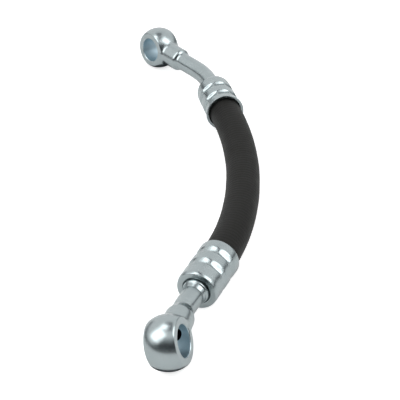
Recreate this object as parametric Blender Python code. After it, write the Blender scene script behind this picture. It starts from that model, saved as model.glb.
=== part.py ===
"""Oil hose: a rubber hose with a crimped steel fitting at each end.

Each fitting is a banjo eye on a bent pipe, a barbed hose tail and a ferrule pressed
over the hose. The whole assembly lies on its side on a surface at z = 0, with the two
eyes in line along +Y.

Each end is built in a frame of its own: the origin is the centre of the ferrule's
mouth, +Y runs out of the hose along the ferrule, and the pipe bends towards -X.
"""

import math

import bmesh
import bpy
from mathutils import Matrix, Vector

# Hose, in metres. Its span is the straight line from the short end's ferrule to the long
# end's, mouth to mouth.
hose_diameter = 0.0173
hose_bore = 0.0080
hose_span = 0.1330
hose_sides = 20

# How far the hose points aside from the span where it leaves the short end's mouth, and
# where it enters the long end's. To the right, seen from above, is positive.
short_mouth_turn = math.radians(21.2)
long_mouth_turn = math.radians(-16.0)

# The hose's middle line from mouth to mouth: how far it is aside from the span and along
# it, as shares of the span, and the height of the hose's underside over the surface
hose_route = [
    (0.0208, 0.0648, 0.00120),
    (0.0380, 0.1305, 0.00090),
    (0.0520, 0.1971, 0.00065),
    (0.0630, 0.2641, 0.00045),
    (0.0713, 0.3322, 0.00030),
    (0.0765, 0.4001, 0.00025),
    (0.0788, 0.4680, 0.00025),
    (0.0789, 0.5367, 0.00035),
    (0.0758, 0.6052, 0.00050),
    (0.0696, 0.6735, 0.00080),
    (0.0606, 0.7409, 0.00115),
    (0.0493, 0.8081, 0.00150),
    (0.0345, 0.8751, 0.00180),
    (0.0172, 0.9416, 0.00200),
]

# How far the line through both eyes lies from the middle of the whole
eyes_aside = 0.0169

# Banjo eye
eye_diameter = 0.0245
eye_width = 0.0142
eye_face_diameter = 0.0204
eye_bore = 0.0140
eye_bore_chamfer = 0.0003
neck_diameter = 0.0134
neck_reach = 0.0216
neck_round = 0.0016
oil_hole = 0.0076
pipe_socket_depth = 0.0060

# Pipe
pipe_diameter = 0.0102
pipe_wall = 0.0015
pipe_sides = 20

# Straight and bent runs of each pipe line, counted from the ferrule to the eye's centre
short_run_at_ferrule = 0.0103
short_bend_angle = math.radians(9.9)
short_bend_radius = 0.0320
short_run_at_eye = 0.0225
long_run_at_ferrule = 0.0103
long_bend_angle = math.radians(27.5)
long_bend_radius = 0.0380
long_run_at_eye = 0.0338

# How far each end lies rolled about its ferrule, which tips its bend and its eye up
short_end_roll = math.radians(19.2)
long_end_roll = math.radians(5.1)

# Ferrule
ferrule_length = 0.0267
ferrule_diameter = 0.0198
ferrule_land_diameter = 0.0200
ferrule_bore = 0.0160
front_wall = 0.0022
front_face_diameter = 0.0184
front_shoulder = 0.0018
mouth_taper = 0.0036
mouth_wall = 0.0012
mouth_clearance_short = 0.0003
mouth_clearance_long = 0.0009
rim_edge = 0.0004
window_count = 8
window_depth = 0.0012
window_edge = 0.0009
window_slope = 0.0030
ridge_depth = 0.0003
window_length = 0.0048
first_windows_start = 0.0078
second_windows_start = 0.0173
columns_per_window = 6
window_gather = 0.1

# How far round each ferrule its first ridge between windows stands
short_windows_turn = math.radians(34.5)
long_windows_turn = math.radians(22.5)

# Hose tail
collar_diameter = 0.0126
collar_proud = 0.0030
collar_taper = 0.0016
collar_lip = 0.0003
socket_depth = 0.0055
flange_diameter = 0.0154
flange_length = 0.0020
shank_length = 0.0185
shank_bore = 0.0050
barb_count = 5
barb_height = 0.0004

# Gap between pieces that sit in or against one another
seat_gap = 0.0003

turned_sides = 36
eye_sides = 48
round_steps = 4
smooth_angle = math.radians(32)
merge_distance = 1e-6


def clear_scene():
    for old in list(bpy.data.objects):
        bpy.data.objects.remove(old, do_unlink=True)


def principled(name, colour, metallic, roughness):
    material = bpy.data.materials.new(name)
    material.use_nodes = True
    shader = material.node_tree.nodes["Principled BSDF"]
    shader.inputs["Base Color"].default_value = (*colour, 1.0)
    shader.inputs["Metallic"].default_value = metallic
    shader.inputs["Roughness"].default_value = roughness
    return material


def zinc_plate(name):
    return principled(name + "_zinc", (0.60, 0.63, 0.64), 1.0, 0.28)


def black_rubber(name):
    return principled(name + "_rubber", (0.030, 0.030, 0.028), 0.0, 0.55)


def finished_object(bm, name, material=None):
    """The mesh as an object, with smooth rounds and crisp edges."""
    bmesh.ops.recalc_face_normals(bm, faces=bm.faces)
    mesh = bpy.data.meshes.new(name)
    bm.to_mesh(mesh)
    bm.free()
    mesh.shade_smooth()
    mesh.set_sharp_from_angle(angle=smooth_angle)
    obj = bpy.data.objects.new(name, mesh)
    bpy.context.collection.objects.link(obj)
    if material:
        mesh.materials.append(material)
    return obj


def place(obj, parent, matrix):
    obj.parent = parent
    obj.matrix_local = matrix
    return obj


def spun(outline, sides, axis):
    """A mesh turned about the Y or X axis from (place along the axis, radius) points.

    An outline that starts and ends on the axis is a solid piece. Any other is closed
    into a loop and makes a ring or a sleeve.
    """
    bm = bmesh.new()
    turned_about = Vector((0, 1, 0)) if axis == "Y" else Vector((1, 0, 0))
    points = [(r, a, 0) if axis == "Y" else (a, r, 0) for a, r in outline]
    verts = [bm.verts.new(point) for point in points]
    edges = [bm.edges.new(pair) for pair in zip(verts[:-1], verts[1:])]
    if outline[0][1] > 0:
        edges.append(bm.edges.new((verts[-1], verts[0])))
    bmesh.ops.spin(
        bm,
        geom=verts + edges,
        axis=turned_about,
        cent=(0, 0, 0),
        steps=sides,
        angle=2 * math.pi,
    )
    bmesh.ops.remove_doubles(bm, verts=bm.verts, dist=merge_distance)
    return bm


def arc(centre, radius, start, end, steps=round_steps):
    """Outline points on an arc, with angles from the outline's first axis."""
    turns = [start + (end - start) * step / steps for step in range(steps + 1)]
    return [
        (centre[0] + radius * math.cos(turn), centre[1] + radius * math.sin(turn))
        for turn in turns
    ]


def swept_tube(stations, radii, bore, sides):
    """A hollow tube through the stations, each a (point, direction) pair."""
    bm = bmesh.new()
    outer, inner = [], []
    for (point, direction), radius in zip(stations, radii):
        across = Vector((0, 0, 1)).cross(direction).normalized()
        upward = direction.cross(across)
        for rings, ring_radius in ((outer, radius), (inner, bore / 2)):
            turns = [2 * math.pi * side / sides for side in range(sides)]
            spokes = [across * math.cos(turn) + upward * math.sin(turn) for turn in turns]
            rings.append([bm.verts.new(point + spoke * ring_radius) for spoke in spokes])
    for rings in (outer, inner):
        for first, second in zip(rings[:-1], rings[1:]):
            join_rings(bm, first, second)
    join_rings(bm, outer[0], inner[0])
    join_rings(bm, outer[-1], inner[-1])
    return bm


def join_rings(bm, first, second):
    """Quads all the way round between two rings of as many verts."""
    for i in range(len(first)):
        bm.faces.new((first[i - 1], first[i], second[i], second[i - 1]))


def cut(obj, cutter):
    """Takes the cutter away from the object."""
    cutter.hide_render = True
    cutter.display_type = "WIRE"
    boolean = obj.modifiers.new(cutter.name, "BOOLEAN")
    boolean.operation = "DIFFERENCE"
    boolean.solver = "EXACT"
    boolean.object = cutter


def add(obj, addition):
    """Joins the addition to the object as one body."""
    addition.hide_render = True
    addition.display_type = "WIRE"
    boolean = obj.modifiers.new(addition.name, "BOOLEAN")
    boolean.operation = "UNION"
    boolean.solver = "EXACT"
    boolean.object = addition


def eye_crown():
    """Radius of the eye's rounded crown, and how far its centre lies past the bore's axis."""
    rise = (eye_diameter - eye_face_diameter) / 2
    crown = ((eye_width / 2) ** 2 + rise**2) / (2 * rise)
    return crown, crown - eye_diameter / 2


def eye_rest_height(roll):
    """Height of the eye's centre when it lies on a surface, rolled by this angle."""
    crown, past_axis = eye_crown()
    return crown - past_axis * math.cos(roll)


def banjo_eye(name, parent, matrix):
    """One turned and drilled piece: the eye, and the neck that the pipe is brazed into."""
    crown, past_axis = eye_crown()
    half_angle = math.asin(eye_width / 2 / crown)
    right = math.pi / 2 - half_angle
    body = arc((0, -past_axis), crown, math.pi - right, right, 2 * round_steps)
    half = eye_width / 2
    eye_outline = [(-half, 0.0), *body, (half, 0.0)]
    eye = finished_object(spun(eye_outline, eye_sides, "X"), name, zinc_plate(name))

    radius = neck_diameter / 2
    end_round = arc((neck_reach - neck_round, radius - neck_round), neck_round, math.pi / 2, 0)
    neck_outline = [(0.0, 0.0), (0.0, radius), *end_round, (neck_reach, 0.0)]
    neck = finished_object(spun(neck_outline, turned_sides, "Y"), name + "_neck")

    mouth = eye_bore / 2 + eye_bore_chamfer
    past = half + eye_bore_chamfer
    bore_outline = [
        (-past, 0.0),
        (-past, mouth + eye_bore_chamfer),
        (-half + eye_bore_chamfer, eye_bore / 2),
        (half - eye_bore_chamfer, eye_bore / 2),
        (past, mouth + eye_bore_chamfer),
        (past, 0.0),
    ]
    bore = finished_object(spun(bore_outline, turned_sides, "X"), name + "_bore")

    socket = pipe_diameter / 2 + seat_gap
    socket_floor = neck_reach - pipe_socket_depth
    way_outline = [
        (0.0, 0.0),
        (0.0, oil_hole / 2),
        (socket_floor, oil_hole / 2),
        (socket_floor, socket),
        (neck_reach + neck_round, socket),
        (neck_reach + neck_round, 0.0),
    ]
    way = finished_object(spun(way_outline, turned_sides, "Y"), name + "_oil_way")

    place(eye, parent, matrix)
    add(eye, place(neck, parent, matrix))
    cut(eye, place(bore, parent, matrix))
    cut(eye, place(way, parent, matrix))
    return eye


def pipe_line(run_at_ferrule, bend_angle, bend_radius, run_at_eye):
    """The pipe's middle line in the end's frame: its bend, and the eye's centre and heading."""
    front = Vector((0, ferrule_length, 0))
    bend_start = front + Vector((0, run_at_ferrule, 0))
    bend = []
    for step in range(2 * round_steps + 1):
        turn = bend_angle * step / (2 * round_steps)
        aside = -bend_radius * (1 - math.cos(turn))
        along = bend_radius * math.sin(turn)
        bend.append((bend_start + Vector((aside, along, 0)), turn))
    out = Vector((-math.sin(bend_angle), math.cos(bend_angle), 0))
    return bend, bend[-1][0] + out * run_at_eye, out


def bent_pipe(name, parent, bend, centre, out):
    """Steel pipe from the bottom of the tail's socket to the bottom of the neck's."""
    into_tail = socket_depth - collar_proud - seat_gap
    start = Vector((0, ferrule_length - into_tail, 0))
    from_centre = neck_reach - pipe_socket_depth + seat_gap
    stations = [(start, Vector((0, 1, 0)))]
    for point, turn in bend:
        stations.append((point, Vector((-math.sin(turn), math.cos(turn), 0))))
    stations.append((centre - out * from_centre, out))
    radii = [pipe_diameter / 2] * len(stations)
    bore = pipe_diameter - 2 * pipe_wall
    pipe = finished_object(swept_tube(stations, radii, bore, pipe_sides), name, zinc_plate(name))
    return place(pipe, parent, Matrix())


def hose_tail(name, parent):
    """Turned tail: tapered collar round the pipe, flange behind the wall, barbed shank."""
    front = ferrule_length + collar_proud
    collar = collar_diameter / 2
    socket = pipe_diameter / 2 + seat_gap
    flange_front = ferrule_length - front_wall - seat_gap
    flange_back = flange_front - flange_length
    flange = flange_diameter / 2
    shank = hose_bore / 2 - seat_gap
    shank_end = flange_back - shank_length
    barb_pitch = (shank_length - barb_height) / barb_count
    outline = [(front, socket), (front, socket + collar_lip)]
    outline += [(front - collar_taper, collar), (flange_front, collar)]
    outline += [(flange_front, flange), (flange_back, flange), (flange_back, shank - barb_height)]
    for barb in range(barb_count):
        crest = flange_back - barb_height - barb_pitch * barb
        outline.append((crest - barb_height, shank))
        if barb < barb_count - 1:
            outline.append((crest - barb_pitch, shank - barb_height))
    outline += [(shank_end, shank - barb_height), (shank_end, shank_bore / 2)]
    socket_floor = front - socket_depth
    outline += [(socket_floor, shank_bore / 2), (socket_floor, socket)]
    tail = finished_object(spun(outline, turned_sides, "Y"), name, zinc_plate(name))
    return place(tail, parent, Matrix())


def rim_radius(mouth_clearance):
    """Outer radius of the ferrule's mouth, on which it rests."""
    return hose_diameter / 2 + mouth_clearance + mouth_wall


def slope_length():
    """Length of a window's slope on its mouth side, within what its front edge leaves."""
    return min(window_slope, window_length - window_edge)


def window_share(from_front):
    """How much of the window depth is pressed in at this distance from the ferrule's front."""
    for start in (first_windows_start, second_windows_start):
        past_start = from_front - start
        before_end = start + window_length - from_front
        if min(past_start, before_end) > -merge_distance:
            share = min(past_start / window_edge, before_end / slope_length())
            return min(1.0, max(0.0, share))
    return 0.0


def press_windows(bm, skin_radius):
    """Presses the two bands of flat windows into the outer skin, with narrow ridges between."""
    pitch = 2 * math.pi / window_count
    flat_radius = ferrule_diameter / 2 - window_depth
    ridge_radius = ferrule_diameter / 2 - ridge_depth
    for vert in bm.verts:
        radius = math.hypot(vert.co.x, vert.co.z)
        if radius < skin_radius:
            continue
        turn = math.atan2(vert.co.z, vert.co.x)
        column = round(turn / pitch * columns_per_window)
        turn -= window_gather * pitch * math.sin(window_count * turn)
        share = window_share(ferrule_length - vert.co.y)
        aside = turn % pitch - pitch / 2
        on_ridge = column % columns_per_window == 0
        pressed = ridge_radius if on_ridge else flat_radius / math.cos(aside)
        radius += (min(radius, pressed) - radius) * share
        vert.co.x = radius * math.cos(turn)
        vert.co.z = radius * math.sin(turn)


def ferrule(name, parent, mouth_clearance, windows_turn):
    """Steel sleeve, closed by a wall round the tail's collar and crimped on to the hose."""
    length = ferrule_length
    outer = ferrule_diameter / 2
    inner = ferrule_bore / 2
    hole = collar_diameter / 2 + seat_gap
    rim = rim_radius(mouth_clearance)
    mouth = rim - mouth_wall
    face = front_face_diameter / 2
    wall_back = length - front_wall
    outline = [(wall_back, inner), (wall_back, hole), (length, hole), (length, face)]
    for step in range(1, round_steps + 1):
        turn = math.pi / 2 * step / round_steps
        along = length - front_shoulder * (1 - math.cos(turn))
        outline.append((along, face + (outer - face) * math.sin(turn)))
    land = ferrule_land_diameter / 2
    for start, before in ((first_windows_start, outer), (second_windows_start, land)):
        end = start + window_length
        outline += [(length - start, before), (length - start - window_edge, before)]
        outline += [(length - end + slope_length(), land), (length - end, land)]
    outline += [(rim_edge, rim), (0.0, rim - rim_edge)]
    outline += [(0.0, mouth), (rim_edge, mouth), (rim_edge + mouth_taper, inner)]
    bm = spun(outline, window_count * columns_per_window, "Y")
    press_windows(bm, (inner + outer - window_depth) / 2)
    sleeve = finished_object(bm, name, zinc_plate(name))
    return place(sleeve, parent, Matrix.Rotation(-windows_turn, 4, "Y"))


def end_frame(mouth_place, heading, mouth_clearance, roll, centre):
    """One end's frame, laid so that its eye and its ferrule's mouth both touch the surface."""
    mouth = Vector((*mouth_place, rim_radius(mouth_clearance)))
    rolled = Matrix.Rotation(roll, 4, "Y")
    from_mouth = rolled @ centre
    climb = eye_rest_height(roll) - mouth.z
    rise = math.asin(climb / math.hypot(from_mouth.y, from_mouth.z))
    rise -= math.atan2(from_mouth.z, from_mouth.y)
    turned = Matrix.Rotation(-heading, 4, "Z") @ Matrix.Rotation(rise, 4, "X")
    return Matrix.Translation(mouth) @ turned @ rolled


def eyes_in_line(short_eye, long_eye):
    """The turn and move on the surface that bring the line between the eyes along +Y."""
    between = long_eye - short_eye
    middle = (short_eye + long_eye) / 2
    middle.z = 0
    turn = Matrix.Rotation(math.atan2(between.x, between.y), 4, "Z")
    return Matrix.Translation((-eyes_aside, 0, 0)) @ turn @ Matrix.Translation(-middle)


def fitting(end, matrix, line, mouth_clearance, windows_turn):
    """One whole end in its frame: eye, pipe, hose tail and ferrule."""
    frame = bpy.data.objects.new(end, None)
    bpy.context.collection.objects.link(frame)
    frame.matrix_world = matrix
    bend, centre, out = line
    neck_heading = math.pi - bend[-1][1]
    eye_matrix = Matrix.Translation(centre) @ Matrix.Rotation(-neck_heading, 4, "Z")
    banjo_eye(end + "_banjo", frame, eye_matrix)
    bent_pipe(end + "_pipe", frame, bend, centre, out)
    hose_tail(end + "_hose_tail", frame)
    ferrule(end + "_ferrule", frame, mouth_clearance, windows_turn)
    bpy.context.view_layer.update()
    return frame


def smooth_stations(points, first_direction, last_direction, steps):
    """(point, direction) pairs on a smooth curve through the points."""
    count = len(points)
    tangents = [first_direction * (points[1] - points[0]).length]
    for i in range(1, count - 1):
        tangents.append((points[i + 1] - points[i - 1]) / 2)
    tangents.append(last_direction * (points[-1] - points[-2]).length)
    stations = []
    for i in range(count - 1):
        for step in range(steps):
            t = step / steps
            start_share = 2 * t**3 - 3 * t**2 + 1
            point = points[i] * start_share + points[i + 1] * (1 - start_share)
            point += tangents[i] * (t**3 - 2 * t**2 + t) + tangents[i + 1] * (t**3 - t**2)
            slope = (points[i + 1] - points[i]) * (6 * t - 6 * t**2)
            slope += tangents[i] * (3 * t**2 - 4 * t + 1) + tangents[i + 1] * (3 * t**2 - 2 * t)
            stations.append((point, slope.normalized()))
    stations.append((points[-1], last_direction))
    return stations


def hose(name, layout, short_frame, long_frame):
    """One rubber hose with a through bore, squeezed down where the ferrules hold it."""
    free = hose_diameter / 2
    held = ferrule_bore / 2 - seat_gap
    held_end = ferrule_length - front_wall - flange_length - 2 * seat_gap
    hidden = [(mouth_taper, held), (held_end, held)]
    ends = []
    for frame in (short_frame, long_frame):
        world = frame.matrix_world
        out = world.to_3x3() @ Vector((0, 1, 0))
        ends.append((world.translation, out.normalized()))
    short_mouth, into_short = ends[0]
    long_mouth, into_long = ends[1]
    points = []
    for aside, along, under in hose_route:
        points.append(layout @ Vector((aside * hose_span, along * hose_span, free + under)))
    middle = smooth_stations([short_mouth, *points, long_mouth], -into_short, into_long, 2)
    stations = [(short_mouth + into_short * depth, -into_short) for depth, r in reversed(hidden)]
    stations += middle
    stations += [(long_mouth + into_long * depth, into_long) for depth, r in hidden]
    radii = [held, held] + [free] * len(middle) + [held, held]
    bm = swept_tube(stations, radii, hose_bore, hose_sides)
    return finished_object(bm, name, black_rubber(name))


clear_scene()
short_line = pipe_line(
    short_run_at_ferrule,
    short_bend_angle,
    short_bend_radius,
    short_run_at_eye,
)
long_line = pipe_line(
    long_run_at_ferrule,
    long_bend_angle,
    long_bend_radius,
    long_run_at_eye,
)
short_laid = end_frame(
    (0, 0),
    short_mouth_turn + math.pi,
    mouth_clearance_short,
    short_end_roll,
    short_line[1],
)
long_laid = end_frame(
    (0, hose_span),
    long_mouth_turn,
    mouth_clearance_long,
    long_end_roll,
    long_line[1],
)
layout = eyes_in_line(short_laid @ short_line[1], long_laid @ long_line[1])
short_frame = fitting(
    "short_end",
    layout @ short_laid,
    short_line,
    mouth_clearance_short,
    short_windows_turn,
)
long_frame = fitting(
    "long_end",
    layout @ long_laid,
    long_line,
    mouth_clearance_long,
    long_windows_turn,
)
hose("hose", layout, short_frame, long_frame)
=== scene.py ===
"""Looks of an oil hose: the view, the rubber hose, and the steel fitting crimped on each end."""

import math

import bmesh
import bpy
from mathutils import Matrix, Vector


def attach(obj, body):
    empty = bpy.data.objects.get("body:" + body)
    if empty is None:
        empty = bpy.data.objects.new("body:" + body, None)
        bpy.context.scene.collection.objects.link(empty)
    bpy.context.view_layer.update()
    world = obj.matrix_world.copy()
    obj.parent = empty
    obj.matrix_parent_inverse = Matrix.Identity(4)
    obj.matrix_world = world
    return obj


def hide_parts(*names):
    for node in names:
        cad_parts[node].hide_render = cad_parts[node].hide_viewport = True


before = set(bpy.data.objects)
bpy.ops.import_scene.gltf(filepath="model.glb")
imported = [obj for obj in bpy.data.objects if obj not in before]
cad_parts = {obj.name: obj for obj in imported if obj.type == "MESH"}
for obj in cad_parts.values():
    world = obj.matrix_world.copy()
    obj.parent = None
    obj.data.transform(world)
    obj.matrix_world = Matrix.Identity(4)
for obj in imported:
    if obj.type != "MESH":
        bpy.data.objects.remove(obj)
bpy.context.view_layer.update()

# The view. A camera with a long lens looks down along the hose from beyond its short end,
# at a hose that lies on its side on a white table.
lens_length = 101.7
camera_place = (-0.0195, -0.4915, 0.3290)
camera_tilt = math.radians(55.5)
camera_turn = math.radians(-2.536)
camera_settings = bpy.data.cameras.new("camera")
camera_settings.sensor_width = 36
camera_settings.lens = lens_length
camera = bpy.data.objects.new("camera", camera_settings)
camera.location = camera_place
camera.rotation_euler = (camera_tilt, 0, camera_turn)
bpy.context.collection.objects.link(camera)
bpy.context.scene.camera = camera

# The hose. Black rubber over textile cord, cured under a tight cloth wrap that leaves fine
# rings all along it. It is cut to length, and each end is squeezed between a barbed tail
# and a ferrule. It is stiff, and keeps the curve in which it lies between the ferrules.
hose_radius = 0.00865
hose_bore_radius = 0.0040
squeezed_radius = 0.0077
squeezed_length = 0.0218
squeeze_taper = 0.0036
hose_length = 0.179
free_length = hose_length - 2 * squeezed_length
wrap_count = 62
wrap_width = free_length / wrap_count
wrap_groove = 0.00006
cloth_thread_pitch = 0.0011
cloth_threads_round = 48

# The middle line from mouth to mouth of the ferrules, and its ways on into them
hose_line = [
    (0.0078, -0.0759, 0.01015),
    (0.0112, -0.0675, 0.00985),
    (0.0143, -0.0590, 0.00955),
    (0.0169, -0.0503, 0.00930),
    (0.0191, -0.0416, 0.00910),
    (0.0209, -0.0326, 0.00895),
    (0.0224, -0.0237, 0.00890),
    (0.0234, -0.0147, 0.00890),
    (0.0242, -0.0056, 0.00900),
    (0.0246, 0.0035, 0.00915),
    (0.0245, 0.0126, 0.00945),
    (0.0241, 0.0217, 0.00980),
    (0.0233, 0.0307, 0.01015),
    (0.0221, 0.0397, 0.01045),
    (0.0206, 0.0487, 0.01065),
    (0.0189, 0.0567, 0.01075),
]
into_short_end = Vector((-0.4386, -0.8986, 0.0113))
into_long_end = Vector((-0.1939, 0.9810, -0.0031))

# A tube's sides, the distance under which points merge, and the play in finding them
tube_sides = 72
same_place = 1e-6
same_station = 1e-5


def alone(obj):
    """Selects obj and nothing else."""
    bpy.ops.object.select_all(action="DESELECT")
    obj.select_set(True)
    bpy.context.view_layer.objects.active = obj


def open_mesh(obj):
    """Opens obj's mesh for editing with nothing selected."""
    alone(obj)
    bpy.ops.object.mode_set(mode="EDIT")
    bpy.ops.mesh.select_mode(type="VERT")
    bpy.ops.mesh.select_all(action="DESELECT")


def close_mesh():
    """Merges doubles, turns all faces outwards and leaves editing."""
    bpy.ops.mesh.select_all(action="SELECT")
    bpy.ops.mesh.remove_doubles(threshold=same_place)
    bpy.ops.mesh.normals_make_consistent(inside=False)
    bpy.ops.object.mode_set(mode="OBJECT")


def pick(kind, wanted):
    """Selects the verts, edges or faces of the open mesh for which wanted says yes."""
    bpy.ops.mesh.select_mode(type=kind)
    bpy.ops.mesh.select_all(action="DESELECT")
    mesh = bpy.context.object.data
    edited = bmesh.from_edit_mesh(mesh)
    parts = {"VERT": edited.verts, "EDGE": edited.edges, "FACE": edited.faces}[kind]
    for part in parts:
        if wanted(part):
            part.select_set(True)
    bmesh.update_edit_mesh(mesh)


def draw_out(move, shrink=1.0):
    """Extrudes the selected loop by a move along X, and scales it about the X axis."""
    bpy.ops.mesh.extrude_region_move(TRANSFORM_OT_translate={"value": (move, 0, 0)})
    if shrink != 1.0:
        bpy.ops.transform.resize(value=(1, shrink, shrink), center_override=(0, 0, 0))


def apply_modifiers(obj):
    """Applies all of obj's modifiers, in their order."""
    alone(obj)
    for modifier in list(obj.modifiers):
        bpy.ops.object.modifier_apply(modifier=modifier.name)


def keep_own_place(obj):
    """Keeps each point's place on the unbent, unplaced piece, which its pattern follows."""
    own = obj.data.attributes.new("own_place", "FLOAT_VECTOR", "POINT")
    own.data.foreach_set("vector", [value for vert in obj.data.vertices for value in vert.co])


def open_tube(name, radius, length):
    """A tube along X from the origin, with one face from end to end on each side."""
    bpy.ops.object.select_all(action="DESELECT")
    bpy.ops.mesh.primitive_cylinder_add(
        vertices=tube_sides,
        radius=radius,
        depth=length,
        end_fill_type="NOTHING",
        rotation=(0, math.pi / 2, 0),
        location=(length / 2, 0, 0),
    )
    tube = bpy.context.object
    tube.name = name
    bpy.ops.object.transform_apply(location=True, rotation=True, scale=True)
    return tube


def length_along_x(edge):
    """How far an edge reaches along X."""
    return abs(edge.verts[0].co.x - edge.verts[1].co.x)


def bend_along(obj, points):
    """Bends a piece that lies along X so that it follows a smooth line through the points."""
    line = bpy.data.curves.new("guide", "CURVE")
    line.dimensions = "3D"
    line.twist_mode = "Z_UP"
    line.resolution_u = 24
    spline = line.splines.new("BEZIER")
    spline.bezier_points.add(len(points) - 1)
    for knot, point in zip(spline.bezier_points, points):
        knot.co = point
        knot.handle_left_type = "AUTO"
        knot.handle_right_type = "AUTO"
    guide = bpy.data.objects.new("guide", line)
    bpy.context.collection.objects.link(guide)
    bend = obj.modifiers.new("bend", "CURVE")
    bend.object = guide
    apply_modifiers(obj)
    bpy.data.objects.remove(guide)


hose = open_tube("rubber_hose", hose_radius, wrap_width)
open_mesh(hose)
pick("EDGE", lambda edge: length_along_x(edge) > wrap_width / 2)
bpy.ops.mesh.subdivide(number_cuts=3)
pick("VERT", lambda vert: abs(vert.co.x - wrap_width / 2) > wrap_width / 3)
groove = 1 - wrap_groove / hose_radius
bpy.ops.transform.resize(value=(1, groove, groove), center_override=(0, 0, 0))
bpy.ops.object.mode_set(mode="OBJECT")
wraps = hose.modifiers.new("wraps", "ARRAY")
wraps.count = wrap_count
wraps.relative_offset_displace = (1, 0, 0)
wraps.use_merge_vertices = True
wraps.merge_threshold = same_station
apply_modifiers(hose)
open_mesh(hose)


def rim_at(end):
    """Picks out the edges of the tube's open end at the given place along X."""
    return lambda edge: edge.is_boundary and all(
        abs(vert.co.x - end) < same_station for vert in edge.verts
    )


for end, outward in ((0.0, -1), (free_length, 1)):
    pick("EDGE", rim_at(end))
    draw_out(outward * squeeze_taper, squeezed_radius / (hose_radius - wrap_groove))
    draw_out(outward * (squeezed_length - squeeze_taper))
    draw_out(0, hose_bore_radius / squeezed_radius)
pick("EDGE", lambda edge: edge.is_boundary)
bpy.ops.mesh.bridge_edge_loops()
pick("EDGE", lambda edge: length_along_x(edge) > free_length)
bpy.ops.mesh.subdivide(number_cuts=60)
pick("VERT", lambda vert: True)
bpy.ops.transform.translate(value=(squeezed_length, 0, 0))
close_mesh()
keep_own_place(hose)
free_points = [Vector(point) for point in hose_line]
short_mouth, long_mouth = free_points[0], free_points[-1]
hose_path = [
    short_mouth + into_short_end * squeezed_length,
    short_mouth + into_short_end * squeezed_length / 2,
    *free_points,
    long_mouth + into_long_end * squeezed_length / 2,
    long_mouth + into_long_end * squeezed_length,
]
bend_along(hose, hose_path)


class Field:
    """A value over a surface, held as a shader socket. Sums on it add Math nodes."""

    def __init__(self, socket):
        self.socket = socket

    @classmethod
    def of(cls, tree, kind, settings=None, inputs=None, output=0):
        """A new node: its settings are made first, and then its sockets set or linked."""
        node = tree.nodes.new(kind)
        for name, value in (settings or {}).items():
            if name == "stops":
                ramp = node.color_ramp.elements
                for stop, (place, colour) in zip((ramp[0], ramp[1]), value):
                    stop.position, stop.color = place, colour
            else:
                setattr(node, name, value)
        for name, value in (inputs or {}).items():
            if isinstance(value, Field):
                tree.links.new(value.socket, node.inputs[name])
            else:
                node.inputs[name].default_value = value
        return cls(node.outputs[output])

    def math(self, operation, first, second=0.0):
        """A Math node in this field's tree."""
        tree = self.socket.id_data
        return Field.of(tree, "ShaderNodeMath", {"operation": operation}, {0: first, 1: second})

    def part(self, axis):
        """One coordinate of a vector."""
        tree = self.socket.id_data
        return Field.of(tree, "ShaderNodeSeparateXYZ", inputs={0: self}, output=axis)

    def __add__(self, other):
        return self.math("ADD", self, other)

    def __sub__(self, other):
        return self.math("SUBTRACT", self, other)

    def __rsub__(self, other):
        return self.math("SUBTRACT", other, self)

    def __mul__(self, other):
        return self.math("MULTIPLY", self, other)

    def __truediv__(self, other):
        return self.math("DIVIDE", self, other)

    def __rtruediv__(self, other):
        return self.math("DIVIDE", other, self)

    __radd__ = __add__
    __rmul__ = __mul__


def new_finish(name):
    """A material with its node tree, its surface shader and the piece's own place."""
    finish = bpy.data.materials.new(name)
    finish.use_nodes = True
    tree = finish.node_tree
    own = Field.of(
        tree,
        "ShaderNodeAttribute",
        {"attribute_name": "own_place"},
        output="Vector",
    )
    return finish, tree, tree.nodes["Principled BSDF"].inputs, own


def rubber():
    """Dull black rubber with the print of a woven cloth in its skin."""
    finish, tree, surface, own = new_finish("cloth_cured_rubber")
    mottle = Field.of(
        tree,
        "ShaderNodeTexNoise",
        inputs={"Vector": own, "Scale": 220.0, "Detail": 5.0, "Roughness": 0.6},
    )
    grain = Field.of(
        tree,
        "ShaderNodeTexNoise",
        inputs={"Vector": own, "Scale": 2600.0, "Detail": 3.0, "Roughness": 0.7},
    )
    colour = Field.of(
        tree,
        "ShaderNodeMix",
        {"data_type": "RGBA"},
        {
            "Factor": mottle,
            "A": (0.0070, 0.0075, 0.0072, 1),
            "B": (0.0140, 0.0137, 0.0120, 1),
        },
        output=2,
    )
    turn = own.part("Z").math("ARCTAN2", own.part("Z"), own.part("Y"))
    slant = turn * cloth_threads_round
    along = own.part("X") * (2 * math.pi / cloth_thread_pitch)
    cloth = (along + slant).math("SINE", along + slant) * along.math("SINE", along - slant)
    relief = Field.of(
        tree,
        "ShaderNodeBump",
        inputs={
            "Strength": 0.5,
            "Distance": 0.0001,
            "Height": grain * 0.6 + mottle * 0.6 + cloth * 0.5,
        },
    )
    surface["Specular IOR Level"].default_value = 0.16
    tree.links.new(colour.socket, surface["Base Color"])
    tree.links.new((mottle * 0.2 + 0.42).socket, surface["Roughness"])
    tree.links.new(relief.socket, surface["Normal"])
    return finish


hose.data.materials.clear()
hose.data.materials.append(rubber())
alone(hose)
bpy.ops.object.shade_smooth()
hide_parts("hose")
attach(hose, "root")

# The ferrules. Each is a steel sleeve, zinc plated, with a wall at its front end that the
# tail's collar comes through. Two rounds of crimping jaws press eight windows each into it
# and leave narrow ridges between them, and its mouth stays flared round the hose.
ferrule_length = 0.0267
window_count = 8
columns_per_window = 12
window_starts = (0.0078, 0.0173)
window_length = 0.0048

# A window's fall along its length: the share of its length, and the share of its depth
window_slope = ((0, 0), (0.06, 0.08), (0.17, 0.60), (0.28, 0.94), (0.38, 1.0))
window_slope += ((0.54, 0.78), (0.72, 0.46), (0.87, 0.18), (0.95, 0.05), (1, 0))
window_depth = 0.0012
ridge_depth = 0.0004
land_radius = 0.0100
middle_land = (0.0135, 0.0150, 0.0165)
skin_radius = 0.0090

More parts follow.
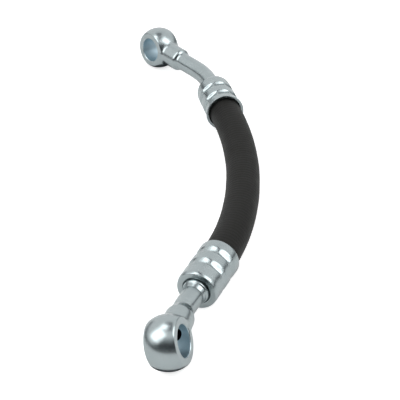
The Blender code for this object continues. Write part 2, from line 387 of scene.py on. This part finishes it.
# Outline points of the sleeve's two ends: the place from its front, and the radius
front_outline = [
    (0.00230, 0.00800),
    (0.00222, 0.00680),
    (0.00190, 0.00660),
    (0.00025, 0.00660),
    (0.00000, 0.00685),
    (0.00000, 0.00870),
    (0.00000, 0.00915),
    (0.00005, 0.00931),
    (0.00022, 0.00943),
    (0.00050, 0.00956),
    (0.00100, 0.00974),
    (0.00160, 0.00986),
    (0.00230, 0.00990),
    (0.00450, 0.00990),
    (0.00700, 0.00990),
]
mouth_outline = [
    (0.02320, 0.01004),
    (0.02450, 0.01010),
    (0.02630, 0.01015),
    (0.02665, 0.01006),
    (0.02670, 0.00985),
    (0.02670, 0.00920),
    (0.02660, 0.00900),
    (0.02610, 0.00893),
    (0.02310, 0.00815),
    (0.02250, 0.00800),
    (0.01200, 0.00800),
]
short_ferrule_mouth = 0.01015
long_ferrule_mouth = 0.01075

# The long end's wider mouth: how far in each step of its flare reaches and its share, and
# between which radii each skin lies and its share
flare_steps = ((0.0010, 0.6), (0.0030, 0.4))
flared_skins = ((0.0095, 0.0120, 1.0), (0.0081, 0.0095, 0.1))
short_windows_turn = math.radians(34.5)
long_windows_turn = math.radians(22.5)


def turned(name, outline, sides):
    """A piece turned about Y from (place along Y, radius) points. A closed outline is a ring."""
    bpy.ops.object.select_all(action="DESELECT")
    bpy.ops.mesh.primitive_plane_add(size=0.001)
    obj = bpy.context.object
    obj.name = name
    open_mesh(obj)
    bpy.ops.mesh.select_all(action="SELECT")
    bpy.ops.mesh.merge(type="CENTER")
    place = Vector((outline[0][1], outline[0][0], 0))
    bpy.ops.transform.translate(value=place)
    for along, radius in outline[1:]:
        step = Vector((radius, along, 0)) - place
        place += step
        bpy.ops.mesh.extrude_region_move(TRANSFORM_OT_translate={"value": step})
    bpy.ops.mesh.select_all(action="SELECT")
    bpy.ops.mesh.spin(steps=sides, angle=2 * math.pi, center=(0, 0, 0), axis=(0, 1, 0))
    close_mesh()
    return obj


def copied(obj, name):
    """A second object like obj, with its own mesh."""
    twin = obj.copy()
    twin.data = obj.data.copy()
    twin.name = name
    bpy.context.collection.objects.link(twin)
    return twin


def off_axis(vert):
    """How far a point of a turned piece is from its axis."""
    return math.hypot(vert.co.x, vert.co.z)


def set_down(obj, place):
    """Puts a finished piece in its place, with its place in its mesh."""
    keep_own_place(obj)
    obj.matrix_world = place
    alone(obj)
    bpy.ops.object.transform_apply(location=True, rotation=True, scale=True)


def band_rows(start):
    """Outline points down and up a band of windows, before it is pressed in."""
    return [(start + along * window_length, land_radius) for along, share in window_slope]


def press_windows(start):
    """Presses one band of windows in, row by row and column by column."""
    pitch = 2 * math.pi / window_count
    for along, share in window_slope[1:-1]:
        row = ferrule_length - start - along * window_length
        for column in range(columns_per_window // 2 + 1):
            aside = pitch / 2 - pitch * column / columns_per_window
            flat = (land_radius - window_depth) / math.cos(aside) / land_radius
            if column == 0:
                flat = 1 - ridge_depth / land_radius
            twins = (column, (columns_per_window - column) % columns_per_window)

            def wanted(vert):
                if abs(vert.co.y - row) > same_station or off_axis(vert) < skin_radius:
                    return False
                turn = math.atan2(vert.co.z, vert.co.x) / pitch
                return round(turn * columns_per_window) % columns_per_window in twins

            pick("VERT", wanted)
            pressed = 1 - (1 - flat) * share
            bpy.ops.transform.resize(value=(pressed, 1, pressed), center_override=(0, 0, 0))


ferrule_outline = front_outline + band_rows(window_starts[0])
ferrule_outline += [(along, land_radius) for along in middle_land]
ferrule_outline += band_rows(window_starts[1]) + mouth_outline + front_outline[:1]
blank = turned(
    "short_end_ferrule_shell",
    [(ferrule_length - from_front, radius) for from_front, radius in ferrule_outline],
    window_count * columns_per_window,
)
open_mesh(blank)
for start in window_starts:
    press_windows(start)
close_mesh()
long_blank = copied(blank, "long_end_ferrule_shell")
open_mesh(long_blank)
for reach, share in flare_steps:
    for least, most, part in flared_skins:
        pick("VERT", lambda vert: vert.co.y < reach and least < off_axis(vert) < most)
        flare = 1 + (long_ferrule_mouth / short_ferrule_mouth - 1) * share * part
        bpy.ops.transform.resize(value=(flare, 1, flare), center_override=(0, 0, 0))
close_mesh()


def end_place(mouth, heading, rise, roll):
    """Where a fitting lies: its mouth, and its turns in degrees. Its axis is its own Y."""
    place = Matrix.Translation(mouth)
    for degrees, axis in ((heading, "Z"), (rise, "X"), (roll, "Y")):
        place = place @ Matrix.Rotation(math.radians(degrees), 4, axis)
    return place


short_end = end_place(short_mouth, heading=153.982, rise=0.647, roll=19.2)
long_end = end_place(long_mouth, heading=11.182, rise=-0.179, roll=5.1)


def zinc(name, marks, rough_painted_light_bore=0.0):
    """Bright zinc plate: a cool grey with soft clouds and faint tool marks.

    In a bore along X of the given radius it is rougher, and its colour is a lighter, bluer grey:
    painted light in the bore.
    """
    finish, tree, surface, own = new_finish(name)
    clouds = Field.of(
        tree,
        "ShaderNodeTexNoise",
        inputs={"Vector": own, "Scale": 160.0, "Detail": 4.0, "Roughness": 0.6},
    )
    grain = Field.of(
        tree,
        "ShaderNodeTexNoise",
        inputs={"Vector": own, "Scale": 3000.0, "Detail": 3.0, "Roughness": 0.6},
    )
    rings = Field.of(
        tree,
        "ShaderNodeTexWave",
        {"wave_type": "BANDS", "bands_direction": "Y"},
        {"Vector": own, "Scale": 900.0, "Distortion": 1.5, "Detail": 2.0},
        output="Fac",
    )
    colour = Field.of(
        tree,
        "ShaderNodeMix",
        {"data_type": "RGBA"},
        {
            "Factor": clouds,
            "A": (0.330, 0.385, 0.395, 1),
            "B": (0.430, 0.480, 0.490, 1),
        },
        output=2,
    )
    relief = Field.of(
        tree,
        "ShaderNodeBump",
        inputs={
            "Strength": 0.25,
            "Distance": 0.00005,
            "Height": grain * 0.5 + rings * marks + clouds * 0.5,
        },
    )
    roughness = clouds * 0.12 + grain * 0.05 + 0.17
    if rough_painted_light_bore:
        from_axis = own.part("Y") * own.part("Y") + own.part("Z") * own.part("Z")
        inside = from_axis.math("LESS_THAN", from_axis, rough_painted_light_bore**2)
        roughness = roughness + inside * 0.22
        # Painted light: a lighter, bluer grey inside the bore.
        colour = Field.of(
            tree,
            "ShaderNodeMix",
            {"data_type": "RGBA"},
            {"Factor": inside, "A": colour, "B": (0.44, 0.56, 0.62, 1)},
            output=2,
        )
    surface["Metallic"].default_value = 1.0
    tree.links.new(colour.socket, surface["Base Color"])
    tree.links.new(roughness.socket, surface["Roughness"])
    tree.links.new(relief.socket, surface["Normal"])
    return finish


def plated(obj, node, finish):
    """Gives a finished steel piece its plate, and its place in the part."""
    obj.data.materials.clear()
    obj.data.materials.append(finish)
    alone(obj)
    bpy.ops.object.shade_smooth_by_angle(angle=math.radians(35))
    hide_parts(node)
    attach(obj, "root")


ferrule_zinc = zinc("ferrule_zinc", 0.1)
for shell, node, place, windows_turn in (
    (blank, "short_end_ferrule", short_end, short_windows_turn),
    (long_blank, "long_end_ferrule", long_end, long_windows_turn),
):
    rounding = shell.modifiers.new("rounding", "SUBSURF")
    rounding.levels = rounding.render_levels = 2
    apply_modifiers(shell)
    set_down(shell, place @ Matrix.Rotation(-windows_turn, 4, "Y"))
    plated(shell, node, ferrule_zinc)

# The hose tails. Each is turned from steel bar: a collar that the pipe is brazed into, a
# flange that stops behind the ferrule's wall, and a barbed shank pushed up the hose.
tail_outline = [
    (0.02980, 0.00500),
    (0.03030, 0.00512),
    (0.02980, 0.00523),
    (0.02920, 0.00541),
    (0.02860, 0.00558),
    (0.02825, 0.00569),
    (0.02810, 0.00578),
    (0.02803, 0.00592),
    (0.02790, 0.00606),
    (0.02765, 0.00618),
    (0.02730, 0.00627),
    (0.02690, 0.00630),
    (0.0242, 0.0063),
    (0.0242, 0.0077),
    (0.0222, 0.0077),
    (0.0222, 0.0033),
    (0.0218, 0.0033),
    (0.0214, 0.0037),
    (0.0182, 0.0033),
    (0.0178, 0.0037),
    (0.0146, 0.0033),
    (0.0142, 0.0037),
    (0.0109, 0.0033),
    (0.0105, 0.0037),
    (0.0073, 0.0033),
    (0.0069, 0.0037),
    (0.0037, 0.0033),
    (0.0037, 0.0025),
    (0.0232, 0.0025),
    (0.0232, 0.0050),
    (0.02980, 0.00500),
]
short_tail = turned("short_end_tail_turning", tail_outline, 96)
long_tail = copied(short_tail, "long_end_tail_turning")
tail_zinc = zinc("tail_zinc", 0.4)
for tail, node, place in (
    (short_tail, "short_end_hose_tail", short_end),
    (long_tail, "long_end_hose_tail", long_end),
):
    set_down(tail, place)
    plated(tail, node, tail_zinc)

# The pipes. Each is a short length of drawn steel tube, bent once and brazed into the tail
# at one end and into the eye's neck at the other. The long end's has the greater bend.
pipe_radius = 0.0051
pipe_bore_radius = 0.0036
pipe_start = 0.0235
pipe_end_to_eye = 0.0159
run_at_ferrule = 0.0103
short_bend = math.radians(9.9)
short_bend_radius = 0.0320
short_run_at_eye = 0.0225
long_bend = math.radians(27.5)
long_bend_radius = 0.0380
long_run_at_eye = 0.0338
bend_steps = 8


def pipe_line(bend_angle, bend_radius, run_at_eye):
    """Points along the pipe's middle, and the eye's centre."""
    start = Vector((0, pipe_start, 0))
    bend_start = Vector((0, ferrule_length + run_at_ferrule, 0))
    points = [start, (start + bend_start) / 2]
    for step in range(bend_steps + 1):
        turn = bend_angle * step / bend_steps
        aside = Vector((math.cos(turn) - 1, math.sin(turn), 0)) * bend_radius
        points.append(bend_start + aside)
    out = Vector((-math.sin(bend_angle), math.cos(bend_angle), 0))
    centre = points[-1] + out * run_at_eye
    end = centre - out * pipe_end_to_eye
    points += [(points[-1] + end) / 2, end]
    return points, centre


def bent_pipe(name, points):
    """A pipe with an open bore that follows the points."""
    length = sum((b - a).length for a, b in zip(points[:-1], points[1:]))
    pipe = open_tube(name, pipe_radius, length)
    open_mesh(pipe)
    pick("EDGE", lambda edge: edge.is_boundary)
    draw_out(0, pipe_bore_radius / pipe_radius)
    bpy.ops.mesh.bridge_edge_loops()
    pick("EDGE", lambda edge: length_along_x(edge) > length / 2)
    bpy.ops.mesh.subdivide(number_cuts=47)
    close_mesh()
    bend_along(pipe, points)
    return pipe


short_points, short_centre = pipe_line(short_bend, short_bend_radius, short_run_at_eye)
long_points, long_centre = pipe_line(long_bend, long_bend_radius, long_run_at_eye)
pipe_zinc = zinc("pipe_zinc", 0.0)
for name, node, points, place in (
    ("short_end_bent_pipe", "short_end_pipe", short_points, short_end),
    ("long_end_bent_pipe", "long_end_pipe", long_points, long_end),
):
    pipe = bent_pipe(name, points)
    set_down(pipe, place)
    plated(pipe, node, pipe_zinc)

# The banjo eyes. Each is turned from one piece of steel: a ball with two flat seal faces
# and a bore for the banjo bolt, and a neck that the pipe goes into. A cross hole lets the
# oil from the bore into the neck. The short end's neck ends in the softer slope.
eye_bore_radius = 0.0070
eye_half_width = 0.0071
eye_crown = 0.01332
eye_past_axis = 0.00107
eye_chamfer = 0.0003
crown_start = math.radians(59)
crown_sweep = math.radians(62)
crown_steps = 28

# The rim of a flat face: how far each point is behind the face, and its radius
face_rim = ((0.0, 0.0098), (0.00004, 0.01005), (0.00018, 0.01024))


def ball_outline():
    """The ball's section: bore, chamfers, flat faces, and crown with softened edges."""
    half = eye_half_width
    side = [(half - eye_chamfer, eye_bore_radius), (half, eye_bore_radius + eye_chamfer)]
    side += [(half - behind, radius) for behind, radius in face_rim]
    crown = []
    for step in range(1, crown_steps):
        turn = crown_start + crown_sweep * step / crown_steps
        crown.append((eye_crown * math.cos(turn), eye_crown * math.sin(turn) - eye_past_axis))
    outline = side + crown + [(-along, radius) for along, radius in reversed(side)]
    return outline + outline[:1]


neck_root = [
    (0.0076, 0.0),
    (0.0076, 0.00735),
    (0.0100, 0.00735),
    (0.0104, 0.00705),
    (0.0109, 0.00684),
    (0.0115, 0.00674),
    (0.0122, 0.0067),
]
tapered_neck_end = [
    (0.0170, 0.0067),
    (0.0180, 0.00663),
    (0.0189, 0.00643),
    (0.0196, 0.00614),
    (0.0202, 0.00584),
    (0.0209, 0.00554),
    (0.0217, 0.00530),
    (0.0227, 0.00512),
    (0.0227, 0.0),
]
rounded_neck_end = [
    (0.0195, 0.0067),
    (0.0201, 0.00666),
    (0.0206, 0.00654),
    (0.0210, 0.00634),
    (0.0213, 0.00608),
    (0.0215, 0.00578),
    (0.0217, 0.00553),
    (0.0220, 0.00534),
    (0.0224, 0.00521),
    (0.0229, 0.00512),
    (0.0229, 0.0),
]
oil_way_outline = [
    (0.0, 0.0),
    (0.0, 0.0038),
    (0.0156, 0.0038),
    (0.0156, 0.00505),
    (0.0260, 0.00505),
    (0.0260, 0.0),
]


def combine(obj, other, operation):
    """Joins the other body to obj or cuts it away, and drops the other body."""
    boolean = obj.modifiers.new(operation, "BOOLEAN")
    boolean.operation = operation
    boolean.solver = "EXACT"
    boolean.object = other
    apply_modifiers(obj)
    bpy.data.objects.remove(other)


def banjo_eye(name, neck_end):
    """The eye with its bore along X, and its neck along Y."""
    ball = turned(name, ball_outline(), 160)
    ball.matrix_world = Matrix.Rotation(math.radians(-90), 4, "Z")
    alone(ball)
    bpy.ops.object.transform_apply(location=True, rotation=True, scale=True)
    combine(ball, turned("neck", neck_root + neck_end, 128), "UNION")
    combine(ball, turned("oil_way", oil_way_outline, 96), "DIFFERENCE")
    return ball


short_eye = banjo_eye("short_end_eye", tapered_neck_end)
long_eye = banjo_eye("long_end_eye", rounded_neck_end)
eye_zinc = zinc("eye_zinc", 0.2, rough_painted_light_bore=eye_bore_radius + 0.0001)
for eye, node, place, centre, bend in (
    (short_eye, "short_end_banjo", short_end, short_centre, short_bend),
    (long_eye, "long_end_banjo", long_end, long_centre, long_bend),
):
    on_pipe = Matrix.Translation(centre) @ Matrix.Rotation(bend - math.pi, 4, "Z")
    set_down(eye, place @ on_pipe)
    plated(eye, node, eye_zinc)

# The table and the light. A wide white table, three soft lamps over it, and white all
# round. Only the bright metal shows the dim walls, which darken its curves: one on the
# camera's side, a low skirting and a beam overhead. Under each eye lies a dark disc of
# painted shadow, which only the metal shows.
table_size = 6
table_glow = 0.7
table_glow_in_metal = 0.22
room_radius = 1.6
room_height = 2.4
room_sweep = math.radians(60)
skirting_foot = 0.03
skirting_height = 0.40
skirting_sweep = math.radians(150)
beam_place = (0.03, 0.32, 1.2)
beam_size = (0.46, 1.0)
# The dark discs of painted shadow under the eyes: their radius and their lift off the table
shadow_disc_radius = 0.0110
shadow_disc_lift = 0.0001
dark = (0.035, 0.040, 0.045, 1)
dusk = (0.20, 0.20, 0.22, 1)
grey = (0.75, 0.78, 0.80, 1)
pale = (0.85, 0.88, 0.90, 1)
sky_strength = 0.42
bpy.ops.object.select_all(action="DESELECT")
bpy.ops.mesh.primitive_plane_add(size=table_size, location=(0, 0, 0))
table = bpy.context.object
table.name = "table"
table_white = bpy.data.materials.new("table_white")
table_white.use_nodes = True
tree = table_white.node_tree
matt = Field.of(tree, "ShaderNodeBsdfDiffuse", inputs={"Color": (0.86, 0.86, 0.86, 1)})
glow = Field.of(
    tree,
    "ShaderNodeEmission",
    inputs={"Color": (1, 1, 1, 1), "Strength": table_glow},
)
seen = Field.of(tree, "ShaderNodeLightPath", output="Is Camera Ray")
in_metal = Field.of(tree, "ShaderNodeLightPath", output="Is Glossy Ray")
seen = seen + in_metal * table_glow_in_metal
lit = Field.of(tree, "ShaderNodeAddShader", inputs={0: matt, 1: glow})
shown = Field.of(tree, "ShaderNodeMixShader", inputs={0: seen, 1: matt, 2: lit})
tree.links.new(shown.socket, tree.nodes["Material Output"].inputs["Surface"])
table.data.materials.append(table_white)


def soft_lamp(name, place, size, power):
    """A rectangular lamp that faces the origin. Its size is in metres, its power in watts."""
    light = bpy.data.lights.new(name, "AREA")
    light.shape = "RECTANGLE"
    light.size, light.size_y = size
    light.energy = power
    lamp = bpy.data.objects.new(name, light)
    lamp.location = place
    lamp.rotation_euler = (-Vector(place)).to_track_quat("-Z", "Y").to_euler()
    bpy.context.collection.objects.link(lamp)


soft_lamp("left_lamp", (-0.50, -0.22, 0.56), (0.60, 0.60), 2.6)
soft_lamp("top_lamp", (-0.23, 0.14, 0.85), (0.30, 0.36), 0.8)
soft_lamp("right_lamp", (0.85, -0.19, 0.98), (0.75, 0.90), 4.9)


def room_wall(name, foot, height, half_sweep, tones):
    """A curved wall that reaches half_sweep either way from the camera's side."""
    bpy.ops.object.select_all(action="DESELECT")
    bpy.ops.mesh.primitive_cylinder_add(
        vertices=96,
        radius=room_radius,
        depth=height,
        end_fill_type="NOTHING",
        location=(0, 0, foot + height / 2),
    )
    wall = bpy.context.object
    wall.name = name
    bpy.ops.object.transform_apply(location=True, rotation=True, scale=True)
    open_mesh(wall)
    pick("FACE", lambda face: abs(math.atan2(face.normal.x, -face.normal.y)) > half_sweep)
    bpy.ops.mesh.delete(type="FACE")
    bpy.ops.object.mode_set(mode="OBJECT")
    only_in_metal(wall, foot, height, tones)


def only_in_metal(wall, foot, height, tones):
    """Colours a wall by its height above its foot, for nothing but the metal to show."""
    finish = bpy.data.materials.new(wall.name)
    finish.use_nodes = True
    tree = finish.node_tree
    place = Field.of(tree, "ShaderNodeTexCoord", output="Object")
    fade = Field.of(
        tree,
        "ShaderNodeValToRGB",
        {"stops": tones},
        {0: (place.part("Z") - foot) / height},
        output="Color",
    )
    glow = Field.of(tree, "ShaderNodeEmission", inputs={"Color": fade})
    tree.links.new(glow.socket, tree.nodes["Material Output"].inputs["Surface"])
    wall.data.materials.append(finish)
    wall.visible_camera = False
    wall.visible_diffuse = False
    wall.visible_shadow = False


room_tones = ((0.42, dark), (0.95, grey))
room_wall("dim_room", 0.0, room_height, room_sweep, room_tones)
skirting_tones = ((0.45, dark), (1.0, pale))
room_wall("dim_skirting", skirting_foot, skirting_height, skirting_sweep, skirting_tones)
bpy.ops.object.select_all(action="DESELECT")
bpy.ops.mesh.primitive_plane_add(size=1, location=beam_place)
dim_beam = bpy.context.object
dim_beam.name = "dim_beam"
bpy.ops.transform.resize(value=(*beam_size, 1))
bpy.ops.object.transform_apply(location=True, rotation=True, scale=True)
only_in_metal(dim_beam, 0.0, room_height, ((0.0, dusk), (1.0, dusk)))
# A dark disc of painted shadow under each eye, seen only in the metal, stands in for the shade
# where the eye meets the table.
for name, place, centre in (
    ("painted_shadow_short_end", short_end, short_centre),
    ("painted_shadow_long_end", long_end, long_centre),
):
    under = place @ centre
    bpy.ops.mesh.primitive_circle_add(
        vertices=48,
        radius=shadow_disc_radius,
        fill_type="NGON",
        location=(under.x, under.y, shadow_disc_lift),
    )
    foot = bpy.context.object
    foot.name = name
    bpy.ops.object.transform_apply(location=True, rotation=True, scale=True)
    only_in_metal(foot, 0.0, room_height, ((0.0, dark), (1.0, dark)))

world = bpy.data.worlds.new("studio")
bpy.context.scene.world = world
world.use_nodes = True
tree = world.node_tree
tree.nodes.clear()
soft = Field.of(
    tree,
    "ShaderNodeBackground",
    inputs={"Color": (1, 1, 1, 1), "Strength": sky_strength},
)
white = Field.of(tree, "ShaderNodeBackground", inputs={"Color": (1, 1, 1, 1), "Strength": 1.0})
camera_ray = Field.of(tree, "ShaderNodeLightPath", output="Is Camera Ray")
glossy_ray = Field.of(tree, "ShaderNodeLightPath", output="Is Glossy Ray")
through_ray = Field.of(tree, "ShaderNodeLightPath", output="Is Transmission Ray")
in_metal_or_glass = glossy_ray.math("MAXIMUM", glossy_ray, through_ray)
direct = camera_ray.math("MAXIMUM", camera_ray, in_metal_or_glass)
sky = Field.of(tree, "ShaderNodeMixShader", inputs={0: direct, 1: soft, 2: white})
world_output = tree.nodes.new("ShaderNodeOutputWorld")
tree.links.new(sky.socket, world_output.inputs["Surface"])
bpy.context.scene.view_settings.view_transform = "Standard"
